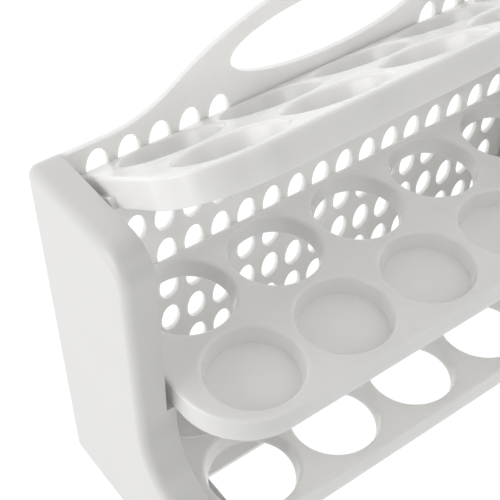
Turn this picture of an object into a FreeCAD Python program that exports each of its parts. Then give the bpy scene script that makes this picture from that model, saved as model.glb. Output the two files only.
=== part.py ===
import FreeCAD, Part
import math
import os

from FreeCAD import Vector

# Three-tier egg holder: two hollow ends and a perforated back panel carry a fixed bottom tray
# and two trays that flip up about pins near their back edges.
# All sizes are in millimetres. X runs along the holder, the front is -Y and Z is up.
# The origin is on the floor, in the middle of the length and the depth.

# Egg grid
egg_columns = 5
egg_rows = 2
egg_pitch = 47.5
tier_pitch = 70.0
bottom_tray_top = 32.5

# Trays
tray_wall = 2.2
tray_skirt = 12.0
tray_edge_round = 1.4
tray_front_margin = 26.2
tray_back_margin = 24.5
tray_end_margin = 32.0
flip_tray_corner = 31.5
fixed_tray_corner = 6.0
tray_back_corner = 4.0

# Egg cups: a rounded mouth, then a wall that tapers to the foot
cup_mouth_radius = 21.1
cup_foot_radius = 19.7
cup_depth = 8.6
cup_rim_round = 1.8
cup_wall = 1.8

# Flip pivots and the stops that hold a lowered tray level
pivot_inset = 8.0
pivot_drop = 6.5
pin_radius = 2.5
pin_running_clearance = 0.05
pin_end_play = 0.3
pin_head_radius = 4.5
pin_head_thickness = 2.0
boss_radius = 5.0
boss_depth = 12.0
boss_clearance = 0.4
collar_thickness = 2.0
lug_length = 10.0
lug_height = 5.0
lug_set_back = 28.0
lug_side_clearance = 1.0
ledge_side_clearance = 0.3
ledge_length = 21.0
ledge_fall = 46.0
ledge_set_back = 22.5
ledge_rest_gap = 0.2
top_tray_tilt = 35.0

# Back panel, with its arched carrying handle, and the strip at its foot
panel_thickness = 2.5
panel_gap = 2.4
panel_recess = 2.4
floor_strip_front = -1.7
floor_strip_thickness = 2.2
shoulder_height = 178.4
shoulder_radius = 54.0
crest_height = 213.7
crest_radius = 138.5
handle_width = 104.0
handle_height = 31.0
handle_band = 8.9

# Egg-shaped perforations in the back panel
perforation_half_width = 5.1
perforation_rise = 9.0
perforation_fall = 7.4
perforation_pitch_x = 14.5
perforation_pitch_z = 21.6
perforation_top_drop = 12.0
perforation_margin = 4.0
perforation_edge_margin = 9.0

# Hollow ends: a moulded cover closed on the inside by a plate
end_gap = 3.5
end_width = 13.9
end_wall = 2.2
end_height = 179.2
end_depth = 69.0
end_lean = 2.5
end_corner = 15.0
end_back_corner = 5.0
end_face_round = 4.5
flare_radius = 31.0
foot_height = 47.5
foot_set_back = 0.75
foot_corner = 4.5
plate_thickness = 2.5
plate_clearance = 0.15
post_radius = 3.5
post_inset = 14.0
step_width = 4.5
step_clearance = 0.6
step_back = 24.0
flange_reach = 23.0
flange_thickness = 2.2
flange_corner = 6.0

# Tabs that lock the fixed pieces to the ends
panel_tab_height = 24.0
panel_tab_stand_out = 1.5
tray_tab_width = 14.0
tray_tab_height = 4.0
tray_tab_drop = 5.0
tray_tab_stand_out = 1.0
tab_clearance = 0.15

# Places worked out from the sizes above
tray_depth = tray_front_margin + egg_pitch * (egg_rows - 1) + tray_back_margin
depth = tray_depth + panel_gap + panel_thickness + panel_recess
front_y = -depth / 2
back_y = depth / 2
tray_back_y = front_y + tray_depth
panel_front_y = tray_back_y + panel_gap
panel_back_y = panel_front_y + panel_thickness
row_y = [front_y + tray_front_margin + egg_pitch * row for row in range(egg_rows)]
column_x = [egg_pitch * (column - (egg_columns - 1) / 2) for column in range(egg_columns)]
tray_end_x = column_x[-1] + tray_end_margin
plate_x = tray_end_x + end_gap
outer_x = plate_x + end_width
plate_back_x = plate_x + plate_thickness
step_x = plate_x - step_width
flange_x = step_x - flange_reach
collar_back_x = plate_back_x + collar_thickness
end_front_y = back_y - end_depth
foot_front_y = front_y + foot_set_back
middle_tray_top = bottom_tray_top + tier_pitch
top_tray_top = middle_tray_top + tier_pitch
flip_tray_tops = [middle_tray_top, top_tray_top]
pivot_y = tray_back_y - pivot_inset
lug_front_y = end_front_y + lug_set_back
handle_centre_height = crest_height - handle_band - handle_height / 2
perforation_top_row = shoulder_height - perforation_top_drop
tab_heights = [bottom_tray_top + tier_pitch * (tier + 0.5) for tier in range(2)]


# Shared shapes

def box(low, high):
    """A box between two corners."""
    return Part.makeBox(high[0] - low[0], high[1] - low[1], high[2] - low[2], Vector(*low))


def rounded_wire(corners, place):
    """A closed outline of straight runs; each corner is (u, v, radius) and place maps (u, v) to space."""
    edges = []
    runs = []
    for index, (u, v, radius) in enumerate(corners):
        here = Vector(u, v, 0)
        before = Vector(*corners[index - 1][:2], 0) - here
        after = Vector(*corners[(index + 1) % len(corners)][:2], 0) - here
        half = before.getAngle(after) / 2
        before.normalize()
        after.normalize()
        start = here + before * (radius / math.tan(half))
        end = here + after * (radius / math.tan(half))
        bisector = (before + after).normalize()
        middle = here + bisector * (radius / math.sin(half) - radius)
        runs.append((start, end))
        edges.append(Part.Arc(place(start), place(middle), place(end)).toShape())
    for index, (start, end) in enumerate(runs):
        edges.append(Part.LineSegment(place(runs[index - 1][1]), place(start)).toShape())
    return Part.Wire(Part.__sortEdges__(edges))


def flat_outline(corners, z):
    """An outline in a level plane."""
    return rounded_wire(corners, lambda p: Vector(p.x, p.y, z))


def upright_outline(corners, x):
    """An outline of (y, z) corners in a plane square to X."""
    return rounded_wire(corners, lambda p: Vector(x, p.x, p.y))


def prism(wire, along):
    """A solid swept straight from a flat outline."""
    return Part.Face(wire).extrude(along)


def rod(radius, x_start, x_end, y, z):
    """A round bar along X."""
    return Part.makeCylinder(radius, x_end - x_start, Vector(x_start, y, z), Vector(1, 0, 0))


def both_ends(shape):
    """A shape at the right end and its mirror image at the left end."""
    return [shape, at_left(shape)]


def at_left(shape):
    """The mirror image of a right-hand piece."""
    return shape.mirror(Vector(0, 0, 0), Vector(1, 0, 0))


# Trays

def tray_corners(half_length, front_corner, inset):
    """Corners of a tray's outline, drawn in by inset."""
    end = half_length - inset
    front = front_y + inset
    back = tray_back_y - inset
    front_radius = front_corner - inset
    back_radius = tray_back_corner - inset
    return [
        (-end, front, front_radius),
        (end, front, front_radius),
        (end, back, back_radius),
        (-end, back, back_radius),
    ]


def tray_shell(half_length, front_corner, top):
    """A thin top with a skirt all round, open underneath."""
    under = top - tray_skirt
    body = prism(flat_outline(tray_corners(half_length, front_corner, 0), under), Vector(0, 0, tray_skirt))
    rim = [edge for edge in body.Edges if edge.BoundBox.ZMin > top - 0.01]
    body = body.makeFillet(tray_edge_round, rim)
    hollow_wire = flat_outline(tray_corners(half_length, front_corner, tray_wall), under)
    return body.cut(prism(hollow_wire, Vector(0, 0, tray_skirt - tray_wall)))


def cup_wall_solid(x, y, top, closed):
    """The tapered outside of one cup, with a floor's thickness more where it is closed."""
    floor = cup_wall if closed else 0
    return Part.makeCone(
        cup_foot_radius + cup_wall,
        cup_mouth_radius + cup_wall,
        cup_depth + floor - tray_wall / 2,
        Vector(x, y, top - cup_depth - floor),
    )


def cup_bore_solid(x, y, top, closed):
    """The inside of one cup: rounded mouth, tapered wall, and a flat floor or a way through."""
    lip = cup_mouth_radius + cup_rim_round
    turn = cup_rim_round * math.sqrt(0.5)
    bottom = -cup_depth if closed else -tray_skirt
    above = tray_wall
    edges = [
        Part.LineSegment(Vector(0, 0, above), Vector(lip, 0, above)),
        Part.LineSegment(Vector(lip, 0, above), Vector(lip, 0, 0)),
        Part.Arc(
            Vector(lip, 0, 0),
            Vector(lip - turn, 0, -cup_rim_round + turn),
            Vector(cup_mouth_radius, 0, -cup_rim_round),
        ),
        Part.LineSegment(Vector(cup_mouth_radius, 0, -cup_rim_round), Vector(cup_foot_radius, 0, -cup_depth)),
    ]
    if not closed:
        edges.append(Part.LineSegment(Vector(cup_foot_radius, 0, -cup_depth), Vector(cup_foot_radius, 0, bottom)))
    edges.append(Part.LineSegment(Vector(cup_foot_radius, 0, bottom), Vector(0, 0, bottom)))
    edges.append(Part.LineSegment(Vector(0, 0, bottom), Vector(0, 0, above)))
    profile = Part.Face(Part.Wire([edge.toShape() for edge in edges]))
    bore = profile.revolve(Vector(0, 0, 0), Vector(0, 0, 1), 360)
    bore.translate(Vector(x, y, top))
    return bore


def with_cups(shell, top, closed_rows):
    """A tray shell with its cups let in; closed_rows lists the rows whose cups have floors."""
    places = [(x, y, row in closed_rows) for row, y in enumerate(row_y) for x in column_x]
    walls = [cup_wall_solid(x, y, top, closed) for x, y, closed in places]
    bores = [cup_bore_solid(x, y, top, closed) for x, y, closed in places]
    return shell.fuse(walls).cut(bores)


def flip_tray(top):
    """A tray that flips up: pin bosses at the back of its ends, stop lugs near the front."""
    pivot_z = top - pivot_drop
    boss = rod(boss_radius, tray_end_x - boss_depth, plate_x - boss_clearance, pivot_y, pivot_z)
    pin_hole = rod(pin_radius, tray_end_x - boss_depth, plate_x, pivot_y, pivot_z)
    under = top - tray_skirt
    lug = box(
        (tray_end_x - tray_wall / 2, lug_front_y, under),
        (plate_x - lug_side_clearance, lug_front_y + lug_length, under + lug_height),
    )
    tray = tray_shell(tray_end_x, flip_tray_corner, top).fuse(both_ends(boss) + both_ends(lug))
    return with_cups(tray, top, [0]).cut(both_ends(pin_hole)).removeSplitter()


def bottom_tray():
    """The fixed tray: it reaches the steps of the end plates and its tabs pass through them."""
    top = bottom_tray_top
    tabs = []
    for y in row_y:
        tab = box(
            (step_x - tray_wall, y - tray_tab_width / 2, top - tray_tab_drop - tray_tab_height),
            (plate_back_x + tray_tab_stand_out, y + tray_tab_width / 2, top - tray_tab_drop),
        )
        tabs += both_ends(tab)
    tray = tray_shell(step_x, fixed_tray_corner, top).fuse(tabs)
    return with_cups(tray, top, []).removeSplitter()


def pivot_pin(top):
    """A headed pin, pressed into a tray's boss from inside the hollow end."""
    pivot_z = top - pivot_drop
    head_x = collar_back_x + pin_end_play
    shank = rod(pin_radius, tray_end_x - boss_depth, head_x, pivot_y, pivot_z)
    head = rod(pin_head_radius, head_x, head_x + pin_head_thickness, pivot_y, pivot_z)
    return shank.fuse(head).removeSplitter()


def tilted(shape):
    """A top tray piece, raised to the tilt at which the tray stands."""
    raised = shape.copy()
    raised.rotate(Vector(0, pivot_y, top_tray_top - pivot_drop), Vector(-1, 0, 0), top_tray_tilt)
    return raised


# Back panel

def panel_outline():
    """Level shoulders that sweep up, through a hollow and a round arc, to the crest of the handle."""
    y = panel_back_y
    rise = crest_height - shoulder_height
    upward = math.copysign(1, rise)
    turn = math.acos(1 - abs(rise) / (shoulder_radius + crest_radius))
    crest_x = crest_radius * math.sin(turn)
    crest_z = crest_height - upward * crest_radius * (1 - math.cos(turn))
    start_x = crest_x + shoulder_radius * math.sin(turn)
    hollow_x = start_x - shoulder_radius * math.sin(turn / 2)
    hollow_z = shoulder_height + upward * shoulder_radius * (1 - math.cos(turn / 2))
    corners = [
        Vector(-start_x, y, shoulder_height),
        Vector(-plate_x, y, shoulder_height),
        Vector(-plate_x, y, 0),
        Vector(plate_x, y, 0),
        Vector(plate_x, y, shoulder_height),
        Vector(start_x, y, shoulder_height),
    ]
    edges = [Part.LineSegment(a, b) for a, b in zip(corners, corners[1:])]
    for side in (1, -1):
        edges.append(Part.Arc(
            Vector(side * start_x, y, shoulder_height),
            Vector(side * hollow_x, y, hollow_z),
            Vector(side * crest_x, y, crest_z),
        ))
    edges.append(Part.Arc(Vector(-crest_x, y, crest_z), Vector(0, y, crest_height), Vector(crest_x, y, crest_z)))
    return Part.Wire(Part.__sortEdges__([edge.toShape() for edge in edges]))


def handle_outline():
    """The oval hand hole."""
    centre = Vector(0, panel_back_y, handle_centre_height)
    oval = Part.Ellipse(
        centre + Vector(handle_width / 2, 0, 0),
        centre + Vector(0, 0, handle_height / 2),
        centre,
    )
    return Part.Wire(oval.toShape())


def perforation_outline(x, z):
    """An egg standing on its blunt end: a short half oval below and a taller one above."""
    centre = Vector(x, panel_back_y, z)
    side = centre + Vector(perforation_half_width, 0, 0)
    halves = []
    for reach in (perforation_rise, -perforation_fall):
        oval = Part.Ellipse(centre + Vector(0, 0, reach), side, centre)
        halves.append(Part.ArcOfEllipse(oval, -math.pi / 2, math.pi / 2).toShape())
    return Part.Wire(halves)


def perforation_places():
    """Centres of the perforations, in a square grid that stops short of the edges and the handle."""
    half_count = int((plate_x - perforation_edge_margin - perforation_half_width) / perforation_pitch_x)
    lowest = perforation_edge_margin + perforation_fall
    rows = int((perforation_top_row - lowest) / perforation_pitch_z) + 1
    handle_bottom = handle_centre_height - handle_height / 2
    places = []
    for row in range(rows):
        z = perforation_top_row - perforation_pitch_z * row
        beside_handle = z + perforation_rise > handle_bottom - perforation_margin
        for column in range(-half_count, half_count + 1):
            x = perforation_pitch_x * column
            if beside_handle and abs(x) < handle_width / 2 + perforation_half_width:
                continue
            places.append((x, z))
    return places


def back_panel():
    """The perforated panel, with tabs that lie in notches of the end plates."""
    outlines = [panel_outline(), handle_outline()]
    outlines += [perforation_outline(x, z) for x, z in perforation_places()]
    face = Part.makeFace(Part.Compound(outlines), "Part::FaceMakerBullseye")
    panel = face.extrude(Vector(0, -panel_thickness, 0))
    tabs = []
    for z in tab_heights:
        tab = box(
            (plate_x - panel_thickness, panel_front_y, z - panel_tab_height / 2),
            (plate_back_x + panel_tab_stand_out, panel_back_y, z + panel_tab_height / 2),
        )
        tabs += both_ends(tab)
    return panel.fuse(tabs).removeSplitter()


def floor_strip():
    """The flat strip between the ends' floor flanges, against the foot of the panel."""
    end = flange_x - tab_clearance
    return box((-end, floor_strip_front, 0), (end, panel_front_y, floor_strip_thickness))


# Ends

def end_corners(inset):
    """Corners of an end's side outline: upright above, with a hollow flare to a long foot below."""
    back = back_y - inset
    front = end_front_y + inset
    foot = foot_front_y + inset
    return [
        (back, inset, end_back_corner - inset),
        (back, end_height - inset, end_back_corner - inset),
        (front, end_height - inset, end_corner - inset),
        (front, foot_height - inset, flare_radius + inset),
        (foot, foot_height - inset, foot_corner - inset),
        (foot, inset, foot_corner - inset),
    ]


def face_x(z, inset):
    """Where the leaning outer face of an end, drawn in by inset, stands at a height."""
    return outer_x - inset - end_lean * (1 - z / end_height)


def end_block(inset):
    """A solid of the right end's side outline, drawn in by inset and cut off at its leaning face."""
    block = prism(upright_outline(end_corners(inset), plate_x), Vector(2 * end_width, 0, 0))
    below = -end_width
    above = end_height + end_width
    beyond = plate_x + 3 * end_width
    outline = Part.makePolygon([
        Vector(face_x(below, inset), front_y, below),
        Vector(face_x(above, inset), front_y, above),
        Vector(beyond, front_y, above),
        Vector(beyond, front_y, below),
        Vector(face_x(below, inset), front_y, below),
    ])
    return block.cut(prism(outline, Vector(0, depth, 0)))


def on_outer_face(edge):
    """Whether an edge bounds the leaning face."""
    middle = edge.valueAt((edge.FirstParameter + edge.LastParameter) / 2)
    points = [vertex.Point for vertex in edge.Vertexes] + [middle]
    return all(abs(point.x - face_x(point.z, 0)) < 0.01 for point in points)


def end_cover():
    """The outer moulding of the right end: a pan with a rounded face, open towards the trays."""
    body = end_block(0)
    body = body.makeFillet(end_face_round, [edge for edge in body.Edges if on_outer_face(edge)])
    posts = []
    for z in tab_heights:
        for y in (end_front_y + post_inset, back_y - post_inset):
            posts.append(rod(post_radius, plate_back_x, face_x(z, end_wall / 2), y, z))
    return body.cut(end_block(end_wall)).fuse(posts).removeSplitter()


def ledge(top):
    """A tapered bracket that stops a lowered tray's lug."""
    z = top - tray_skirt - ledge_rest_gap
    y = end_front_y + ledge_set_back
    outline = Part.makePolygon([
        Vector(plate_x, y, z),
        Vector(tray_end_x + ledge_side_clearance, y, z),
        Vector(plate_x, y, z - ledge_fall),
        Vector(plate_x, y, z),
    ])
    return prism(outline, Vector(0, ledge_length, 0))


def step():
    """The thick lower part of an end plate, flush with its cover, whose top lies under the middle tray."""
    block = prism(upright_outline(end_corners(0), step_x), Vector(step_width, 0, 0))
    step_top = middle_tray_top - tray_skirt - step_clearance
    return block.common(box((step_x, front_y, 0), (plate_x, step_back, step_top)))


def foot_angle():
    """The floor flange of an end, and the low web that the bottom tray stands on."""
    flange_back = panel_front_y - tab_clearance
    corners = [
        (flange_x, foot_front_y, flange_corner),
        (plate_x, foot_front_y, flange_thickness / 2),
        (plate_x, flange_back, flange_thickness / 2),
        (flange_x, flange_back, flange_thickness / 2),
    ]
    flange = prism(flat_outline(corners, 0), Vector(0, 0, flange_thickness))
    web = box(
        (step_x - tray_wall, foot_front_y + foot_corner, 0),
        (step_x, tray_back_y, bottom_tray_top - tray_skirt),
    )
    return flange.fuse(web)


def end_plate():
    """The inner plate of the right end: pin holes, stop ledges, slots for the tabs, and the floor flange."""
    outline = upright_outline(end_corners(end_wall + plate_clearance), plate_x)
    plate = prism(outline, Vector(plate_thickness, 0, 0))
    added = [foot_angle(), step()]
    holes = []
    for top in flip_tray_tops:
        pivot_z = top - pivot_drop
        added.append(ledge(top))
        added.append(rod(boss_radius, plate_back_x, collar_back_x, pivot_y, pivot_z))
        holes.append(rod(pin_radius + pin_running_clearance, plate_x, collar_back_x, pivot_y, pivot_z))
    slot_top = bottom_tray_top - tray_tab_drop + tab_clearance
    for y in row_y:
        half = tray_tab_width / 2 + tab_clearance
        holes.append(box(
            (step_x, y - half, slot_top - tray_tab_height - 2 * tab_clearance),
            (plate_back_x, y + half, slot_top),
        ))
    for z in tab_heights:
        half = panel_tab_height / 2 + tab_clearance
        holes.append(box((plate_x, panel_front_y - tab_clearance, z - half), (plate_back_x, back_y, z + half)))
    return plate.fuse(added).cut(holes).removeSplitter()


# Every piece, by name

def pieces():
    """All the pieces in place, with the top tray raised."""
    right_cover = end_cover()
    right_plate = end_plate()
    middle_pin = pivot_pin(middle_tray_top)
    top_pin = tilted(pivot_pin(top_tray_top))
    return {
        "back_panel": back_panel(),
        "floor_strip": floor_strip(),
        "right_end_cover": right_cover,
        "left_end_cover": at_left(right_cover),
        "right_end_plate": right_plate,
        "left_end_plate": at_left(right_plate),
        "bottom_tray": bottom_tray(),
        "middle_tray": flip_tray(middle_tray_top),
        "middle_tray_right_pin": middle_pin,
        "middle_tray_left_pin": at_left(middle_pin),
        "top_tray": tilted(flip_tray(top_tray_top)),
        "top_tray_right_pin": top_pin,
        "top_tray_left_pin": at_left(top_pin),
    }


os.makedirs("parts", exist_ok=True)
for name, shape in pieces().items():
    shape.exportStep(f"parts/{name}.step")
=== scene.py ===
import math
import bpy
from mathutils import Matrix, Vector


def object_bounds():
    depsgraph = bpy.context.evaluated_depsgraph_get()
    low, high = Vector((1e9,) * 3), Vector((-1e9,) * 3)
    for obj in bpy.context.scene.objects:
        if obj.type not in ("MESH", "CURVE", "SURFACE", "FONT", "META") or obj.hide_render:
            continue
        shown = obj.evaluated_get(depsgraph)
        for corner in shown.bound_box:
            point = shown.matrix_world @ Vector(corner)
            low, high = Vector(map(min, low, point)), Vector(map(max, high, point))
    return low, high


bl_info = {
    "name": "Egg Holder Looks",
    "version": (1, 0, 0),
    "blender": (4, 5, 0),
    "location": "3D View > Sidebar > Egg Holder",
    "description": "Finishes, studio and camera for a tiered egg holder with flip-up trays",
    "category": "Object",
}

import bpy

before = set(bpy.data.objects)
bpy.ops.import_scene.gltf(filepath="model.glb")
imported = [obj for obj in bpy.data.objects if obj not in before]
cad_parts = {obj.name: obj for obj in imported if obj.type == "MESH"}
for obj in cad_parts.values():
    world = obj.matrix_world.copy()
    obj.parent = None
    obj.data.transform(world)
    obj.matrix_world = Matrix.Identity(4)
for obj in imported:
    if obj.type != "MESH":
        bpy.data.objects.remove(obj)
cad_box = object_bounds()

MILLIMETRE = 0.001
SENSOR_WIDTH = 36.0
FLOOR_DROP = 0.1 * MILLIMETRE
TABLE_SHADE = "#585858"

# Plastics: refractive index, share of light that soaks in, and height of the surface marks
POLYSTYRENE_INDEX = 1.55
ACETAL_INDEX = 1.48
SOAKED_SHARE = 0.65
RIPPLE_HEIGHT = 0.15 * MILLIMETRE
PEEL_HEIGHT = 0.05 * MILLIMETRE
RING_HEIGHT = 0.02 * MILLIMETRE
RING_SPACING = 0.5

END_COVERS = ("left_end_cover", "right_end_cover")
END_PLATES = ("left_end_plate", "right_end_plate")
PANEL_PIECES = ("back_panel", "floor_strip")
TRAYS = ("bottom_tray", "middle_tray", "top_tray")
PINS = tuple(sorted(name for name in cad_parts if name.endswith("_pin")))


# Shared helpers

def linear(hex_colour):
    """A linear RGBA colour from an sRGB hex value such as #E8E8E6."""
    channels = []
    for place in (1, 3, 5):
        value = int(hex_colour[place:place + 2], 16) / 255
        channels.append(value / 12.92 if value <= 0.04045 else ((value + 0.055) / 1.055) ** 2.4)
    return (*channels, 1.0)


def pattern_scale(millimetres):
    """The scale of a texture whose marks are this far apart."""
    return 1 / (millimetres * MILLIMETRE)


def add_node(tree, kind, settings=None, links=None):
    """Add a node; settings name its attributes or input sockets, links give the output for each input."""
    node = tree.nodes.new(kind)
    for name, value in (settings or {}).items():
        if name in node.inputs:
            node.inputs[name].default_value = value
        else:
            setattr(node, name, value)
    for name, output in (links or {}).items():
        tree.links.new(output, node.inputs[name])
    return node


def new_material(name):
    """An empty node material and its tree."""
    material = bpy.data.materials.new(name)
    material.use_nodes = True
    material.node_tree.nodes.clear()
    return material, material.node_tree


def finish_nodes(names, material):
    """Give CAD nodes a material in place of the plain one that they were packed with."""
    for name in names:
        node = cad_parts[name]
        node.data.materials.clear()
        node.data.materials.append(material)


# Sizes and colours that a user would change

class EggHolderFinish(bpy.types.PropertyGroup):
    """Colours and surface detail of the holder's plastics."""

    tray_colour: bpy.props.FloatVectorProperty(
        name="Tray Colour",
        description="White of the glossy trays",
        subtype="COLOR",
        size=4,
        min=0,
        max=1,
        default=linear("#EDECEA"),
    )
    panel_colour: bpy.props.FloatVectorProperty(
        name="Panel Colour",
        description="White of the perforated back panel",
        subtype="COLOR",
        size=4,
        min=0,
        max=1,
        default=linear("#F2F1EF"),
    )
    end_colour: bpy.props.FloatVectorProperty(
        name="End Colour",
        description="White of the hollow ends",
        subtype="COLOR",
        size=4,
        min=0,
        max=1,
        default=linear("#DAD9D7"),
    )
    pin_colour: bpy.props.FloatVectorProperty(
        name="Pin Colour",
        description="Off-white of the pivot pins",
        subtype="COLOR",
        size=4,
        min=0,
        max=1,
        default=linear("#DEDCD6"),
    )
    ripple_spacing: bpy.props.FloatProperty(
        name="Ripple Spacing",
        description="Distance between the faint ripples of a polished moulding, in millimetres",
        default=9.0,
        min=1.0,
    )
    peel_spacing: bpy.props.FloatProperty(
        name="Peel Spacing",
        description="Grain of the satin mould finish on the ends, in millimetres",
        default=1.4,
        min=0.2,
    )
    glow_depth: bpy.props.FloatProperty(
        name="Glow Depth",
        description="How far light soaks into the trays and the panel, in millimetres",
        default=3.5,
        min=0.1,
    )


class EggHolderStage(bpy.types.PropertyGroup):
    """Floor, lights and camera."""

    floor_colour: bpy.props.FloatVectorProperty(
        name="Floor Colour",
        description="Colour of the plain floor and of the studio around it",
        subtype="COLOR",
        size=4,
        min=0,
        max=1,
        default=linear("#FFFFFF"),
    )
    floor_half_width: bpy.props.FloatProperty(
        name="Floor Half Width",
        description="Distance from the holder to the floor's edge",
        unit="LENGTH",
        default=20.0,
        min=0.5,
    )
    floor_glow: bpy.props.FloatProperty(
        name="Floor Glow",
        description="Light that the lit studio table gives off by itself",
        default=0.96,
        min=0.0,
    )
    studio_lean: bpy.props.FloatVectorProperty(
        name="Studio Lean",
        description="Direction in which the white studio is brightest",
        subtype="DIRECTION",
        default=(0.55, 0.68, -0.48),
    )
    studio_bright: bpy.props.FloatProperty(
        name="Studio Bright",
        description="Light from the studio's brightest side",
        default=1.46,
        min=0.0,
    )
    studio_dim: bpy.props.FloatProperty(
        name="Studio Dim",
        description="Light from the studio's dimmest side",
        default=0.3,
        min=0.0,
    )
    side_place: bpy.props.FloatVectorProperty(
        name="Side Place",
        description="Where the left-hand softbox hangs",
        subtype="TRANSLATION",
        unit="LENGTH",
        default=(-1.3, 0.15, 0.45),
    )
    side_size: bpy.props.FloatProperty(
        name="Side Size",
        description="Side of the left-hand softbox",
        unit="LENGTH",
        default=0.9,
        min=0.05,
    )
    side_power: bpy.props.FloatProperty(
        name="Side Power",
        description="Power of the left-hand softbox",
        unit="POWER",
        default=7.8,
        min=0.0,
    )
    front_place: bpy.props.FloatVectorProperty(
        name="Front Place",
        description="Where the high front softbox hangs",
        subtype="TRANSLATION",
        unit="LENGTH",
        default=(0.1, -1.2, 1.1),
    )
    front_size: bpy.props.FloatProperty(
        name="Front Size",
        description="Side of the high front softbox",
        unit="LENGTH",
        default=0.9,
        min=0.05,
    )
    front_power: bpy.props.FloatProperty(
        name="Front Power",
        description="Power of the high front softbox",
        unit="POWER",
        default=3.3,
        min=0.0,
    )
    camera_place: bpy.props.FloatVectorProperty(
        name="Camera Place",
        description="Where the camera stands: in front, to the left and above",
        subtype="TRANSLATION",
        unit="LENGTH",
        default=(-0.27198, -0.25728, 0.45816),
    )
    camera_turn: bpy.props.FloatVectorProperty(
        name="Camera Turn",
        description="Camera's tilt, roll and heading",
        subtype="EULER",
        default=(math.radians(45.065), math.radians(-0.422), math.radians(-36.669)),
    )
    camera_lens: bpy.props.FloatProperty(
        name="Lens",
        description="Focal length on a 36 mm wide frame",
        unit="CAMERA",
        default=82.31,
        min=10.0,
    )


# Materials

def gloss_moulded_polystyrene(name, colour, ripple_spacing, glow_depth):
    """High-impact polystyrene from a polished mould."""
    # A hard bright gloss that ripples faintly where the melt flowed and shrank, on a very even white.
    # Light soaks a few millimetres into it, so thin walls pass some on and shadows inside stay pale.
    material, tree = new_material(name)
    place = add_node(tree, "ShaderNodeTexCoord").outputs["Object"]
    flow = add_node(
        tree,
        "ShaderNodeTexNoise",
        {"Scale": pattern_scale(ripple_spacing), "Detail": 2.0, "Roughness": 0.45, "Distortion": 0.6},
        {"Vector": place},
    )
    tint = add_node(
        tree,
        "ShaderNodeHueSaturation",
        {"Color": colour},
        {"Value": add_node(
            tree,
            "ShaderNodeMapRange",
            {"From Min": 0.25, "From Max": 0.75, "To Min": 0.985, "To Max": 1.0},
            {"Value": flow.outputs["Fac"]},
        ).outputs["Result"]},
    )
    polish = add_node(
        tree,
        "ShaderNodeMapRange",
        {"From Min": 0.3, "From Max": 0.7, "To Min": 0.2, "To Max": 0.27},
        {"Value": flow.outputs["Fac"]},
    )
    ripple = add_node(
        tree,
        "ShaderNodeBump",
        {"Strength": 0.05, "Distance": RIPPLE_HEIGHT},
        {"Height": flow.outputs["Fac"]},
    )
    plastic = add_node(
        tree,
        "ShaderNodeBsdfPrincipled",
        {
            "IOR": POLYSTYRENE_INDEX,
            "Subsurface Weight": SOAKED_SHARE,
            "Subsurface Radius": (1.0, 1.0, 1.0),
            "Subsurface Scale": glow_depth * MILLIMETRE,
        },
        {
            "Base Color": tint.outputs["Color"],
            "Roughness": polish.outputs["Result"],
            "Normal": ripple.outputs["Normal"],
        },
    )
    add_node(tree, "ShaderNodeOutputMaterial", None, {"Surface": plastic.outputs["BSDF"]})
    return material


def satin_moulded_polystyrene(name, colour, ripple_spacing, peel_spacing):
    """High-impact polystyrene from a lightly blasted mould."""
    # A soft sheen in place of a mirror gloss: a fine peel breaks the reflections on the broad flat faces.
    material, tree = new_material(name)
    place = add_node(tree, "ShaderNodeTexCoord").outputs["Object"]
    flow = add_node(
        tree,
        "ShaderNodeTexNoise",
        {"Scale": pattern_scale(3 * ripple_spacing), "Detail": 3.0, "Roughness": 0.5},
        {"Vector": place},
    )
    peel = add_node(
        tree,
        "ShaderNodeTexNoise",
        {"Scale": pattern_scale(peel_spacing), "Detail": 2.0, "Roughness": 0.5},
        {"Vector": place},
    )
    tint = add_node(
        tree,
        "ShaderNodeHueSaturation",
        {"Color": colour},
        {"Value": add_node(
            tree,
            "ShaderNodeMapRange",
            {"From Min": 0.25, "From Max": 0.75, "To Min": 0.975, "To Max": 1.0},
            {"Value": flow.outputs["Fac"]},
        ).outputs["Result"]},
    )
    sheen = add_node(
        tree,
        "ShaderNodeMapRange",
        {"From Min": 0.3, "From Max": 0.7, "To Min": 0.3, "To Max": 0.38},
        {"Value": peel.outputs["Fac"]},
    )
    grain = add_node(
        tree,
        "ShaderNodeBump",
        {"Strength": 0.12, "Distance": PEEL_HEIGHT},
        {"Height": peel.outputs["Fac"]},
    )
    plastic = add_node(
        tree,
        "ShaderNodeBsdfPrincipled",
        {"IOR": POLYSTYRENE_INDEX},
        {
            "Base Color": tint.outputs["Color"],
            "Roughness": sheen.outputs["Result"],
            "Normal": grain.outputs["Normal"],
        },
    )
    add_node(tree, "ShaderNodeOutputMaterial", None, {"Surface": plastic.outputs["BSDF"]})
    return material


def turned_acetal(name, colour):
    """Acetal rod, turned and faced."""
    # Dull off-white with rings too fine to see, drawn half a millimetre apart so that they show.
    material, tree = new_material(name)
    place = add_node(tree, "ShaderNodeTexCoord").outputs["Object"]
    rings = add_node(
        tree,
        "ShaderNodeTexWave",
        {"bands_direction": "X", "Scale": pattern_scale(RING_SPACING) / (2 * math.pi), "Distortion": 0.4},
        {"Vector": place},
    )
    tint = add_node(
        tree,
        "ShaderNodeHueSaturation",
        {"Color": colour},
        {"Value": add_node(
            tree,
            "ShaderNodeMapRange",
            {"To Min": 0.96, "To Max": 1.0},
            {"Value": rings.outputs["Fac"]},
        ).outputs["Result"]},
    )
    cut = add_node(
        tree,
        "ShaderNodeBump",
        {"Strength": 0.2, "Distance": RING_HEIGHT},
        {"Height": rings.outputs["Fac"]},
    )
    plastic = add_node(
        tree,
        "ShaderNodeBsdfPrincipled",
        {"IOR": ACETAL_INDEX, "Roughness": 0.45},
        {"Base Color": tint.outputs["Color"], "Normal": cut.outputs["Normal"]},
    )
    add_node(tree, "ShaderNodeOutputMaterial", None, {"Surface": plastic.outputs["BSDF"]})
    return material


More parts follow.
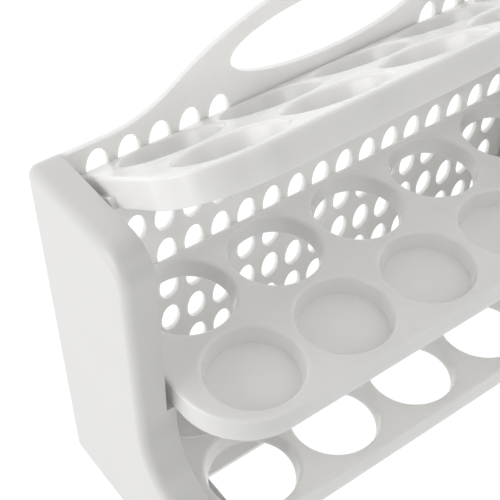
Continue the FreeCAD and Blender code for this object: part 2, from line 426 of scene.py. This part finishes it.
def glowing_table(name, colour, glow):
    """White acrylic table, lit from below."""
    # It shows no edge and no shadow, so the holder stands on plain white.
    material, tree = new_material(name)
    acrylic = add_node(
        tree,
        "ShaderNodeBsdfPrincipled",
        {
            "Base Color": linear(TABLE_SHADE),
            "Roughness": 0.6,
            "Emission Color": colour,
            "Emission Strength": glow,
        },
    )
    add_node(tree, "ShaderNodeOutputMaterial", None, {"Surface": acrylic.outputs["BSDF"]})
    return material


# Operators, one for each group of like pieces and one for the stage

class EGGHOLDER_OT_ends(bpy.types.Operator):
    """Give the covers and plates of the hollow ends their satin finish"""

    bl_idname = "egg_holder.ends"
    bl_label = "Finish the Ends"

    def execute(self, context):
        finish = context.scene.egg_holder_finish
        satin = satin_moulded_polystyrene(
            "satin_moulded_polystyrene", finish.end_colour, finish.ripple_spacing, finish.peel_spacing
        )
        finish_nodes(END_COVERS + END_PLATES, satin)
        return {"FINISHED"}


class EGGHOLDER_OT_back_panel(bpy.types.Operator):
    """Give the perforated back panel and the strip at its foot their gloss"""

    bl_idname = "egg_holder.back_panel"
    bl_label = "Finish the Back Panel"

    def execute(self, context):
        finish = context.scene.egg_holder_finish
        gloss = gloss_moulded_polystyrene(
            "gloss_moulded_polystyrene_panel", finish.panel_colour, finish.ripple_spacing, finish.glow_depth
        )
        finish_nodes(PANEL_PIECES, gloss)
        return {"FINISHED"}


class EGGHOLDER_OT_trays(bpy.types.Operator):
    """Give the three egg trays their gloss"""

    bl_idname = "egg_holder.trays"
    bl_label = "Finish the Trays"

    def execute(self, context):
        finish = context.scene.egg_holder_finish
        gloss = gloss_moulded_polystyrene(
            "gloss_moulded_polystyrene_trays", finish.tray_colour, finish.ripple_spacing, finish.glow_depth
        )
        finish_nodes(TRAYS, gloss)
        return {"FINISHED"}


class EGGHOLDER_OT_pins(bpy.types.Operator):
    """Give the pivot pins their turned finish"""

    bl_idname = "egg_holder.pins"
    bl_label = "Finish the Pins"

    def execute(self, context):
        finish_nodes(PINS, turned_acetal("turned_acetal", context.scene.egg_holder_finish.pin_colour))
        return {"FINISHED"}


class EGGHOLDER_OT_stage(bpy.types.Operator):
    """Lay the floor, hang the lights and set up the camera"""

    bl_idname = "egg_holder.stage"
    bl_label = "Set the Stage"

    def execute(self, context):
        stage = context.scene.egg_holder_stage
        self.lay_floor(context, stage)
        self.hang_lights(context, stage)
        self.set_camera(context, stage)
        return {"FINISHED"}

    def lay_floor(self, context, stage):
        half = stage.floor_half_width
        mesh = bpy.data.meshes.new("studio_floor")
        level = -FLOOR_DROP
        corners = [(-half, -half, level), (half, -half, level), (half, half, level), (-half, half, level)]
        mesh.from_pydata(corners, [], [(0, 1, 2, 3)])
        mesh.materials.append(glowing_table("lit_white_acrylic", stage.floor_colour, stage.floor_glow))
        floor = bpy.data.objects.new("studio_floor", mesh)
        # The table is seen and mirrored in the gloss, but the studio alone lights the plastic.
        floor.visible_diffuse = False
        context.scene.collection.objects.link(floor)

    def hang_lights(self, context, stage):
        world = bpy.data.worlds.new("white_studio")
        world.use_nodes = True
        tree = world.node_tree
        tree.nodes.clear()
        lean = add_node(
            tree,
            "ShaderNodeVectorMath",
            {"operation": "DOT_PRODUCT"},
            {0: add_node(tree, "ShaderNodeTexCoord").outputs["Generated"]},
        )
        lean.inputs[1].default_value = stage.studio_lean
        level = add_node(
            tree,
            "ShaderNodeMapRange",
            {"From Min": -1.0, "From Max": 1.0, "To Min": stage.studio_dim, "To Max": stage.studio_bright},
            {"Value": lean.outputs["Value"]},
        )
        sky = add_node(
            tree,
            "ShaderNodeBackground",
            {"Color": stage.floor_colour},
            {"Strength": level.outputs["Result"]},
        )
        add_node(tree, "ShaderNodeOutputWorld", None, {"Surface": sky.outputs["Background"]})
        context.scene.world = world
        middle = (cad_box[0] + cad_box[1]) / 2
        for name in ("side", "front"):
            light = bpy.data.lights.new(f"{name}_softbox", "AREA")
            light.size = getattr(stage, f"{name}_size")
            light.energy = getattr(stage, f"{name}_power")
            softbox = bpy.data.objects.new(f"{name}_softbox", light)
            softbox.location = getattr(stage, f"{name}_place")
            softbox.rotation_euler = (middle - softbox.location).to_track_quat("-Z", "Y").to_euler()
            context.scene.collection.objects.link(softbox)

    def set_camera(self, context, stage):
        lens = bpy.data.cameras.new("camera")
        lens.lens = stage.camera_lens
        lens.sensor_width = SENSOR_WIDTH
        lens.clip_start = 0.01
        lens.clip_end = 50.0
        camera = bpy.data.objects.new("camera", lens)
        camera.location = stage.camera_place
        camera.rotation_euler = stage.camera_turn
        context.scene.collection.objects.link(camera)
        context.scene.camera = camera
        context.scene.view_settings.view_transform = "Standard"


class EGGHOLDER_PT_sidebar(bpy.types.Panel):
    """Lists the holder's settings and steps"""

    bl_idname = "EGGHOLDER_PT_sidebar"
    bl_label = "Egg Holder"
    bl_space_type = "VIEW_3D"
    bl_region_type = "UI"
    bl_category = "Egg Holder"

    def draw(self, context):
        for settings in (context.scene.egg_holder_finish, context.scene.egg_holder_stage):
            column = self.layout.column()
            for name in settings.__annotations__:
                column.prop(settings, name)
        for step in STEPS:
            self.layout.operator(step.bl_idname)


STEPS = (
    EGGHOLDER_OT_ends,
    EGGHOLDER_OT_back_panel,
    EGGHOLDER_OT_trays,
    EGGHOLDER_OT_pins,
    EGGHOLDER_OT_stage,
)
CLASSES = (EggHolderFinish, EggHolderStage, *STEPS, EGGHOLDER_PT_sidebar)


def register():
    """Add the settings, steps and sidebar."""
    for item in CLASSES:
        bpy.utils.register_class(item)
    bpy.types.Scene.egg_holder_finish = bpy.props.PointerProperty(type=EggHolderFinish)
    bpy.types.Scene.egg_holder_stage = bpy.props.PointerProperty(type=EggHolderStage)


def unregister():
    """Take the settings, steps and sidebar away again."""
    del bpy.types.Scene.egg_holder_stage
    del bpy.types.Scene.egg_holder_finish
    for item in reversed(CLASSES):
        bpy.utils.unregister_class(item)


def main():
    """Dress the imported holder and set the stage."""
    register()
    bpy.ops.egg_holder.ends()
    bpy.ops.egg_holder.back_panel()
    bpy.ops.egg_holder.trays()
    bpy.ops.egg_holder.pins()
    bpy.ops.egg_holder.stage()


if __name__ == "__main__":
    main()
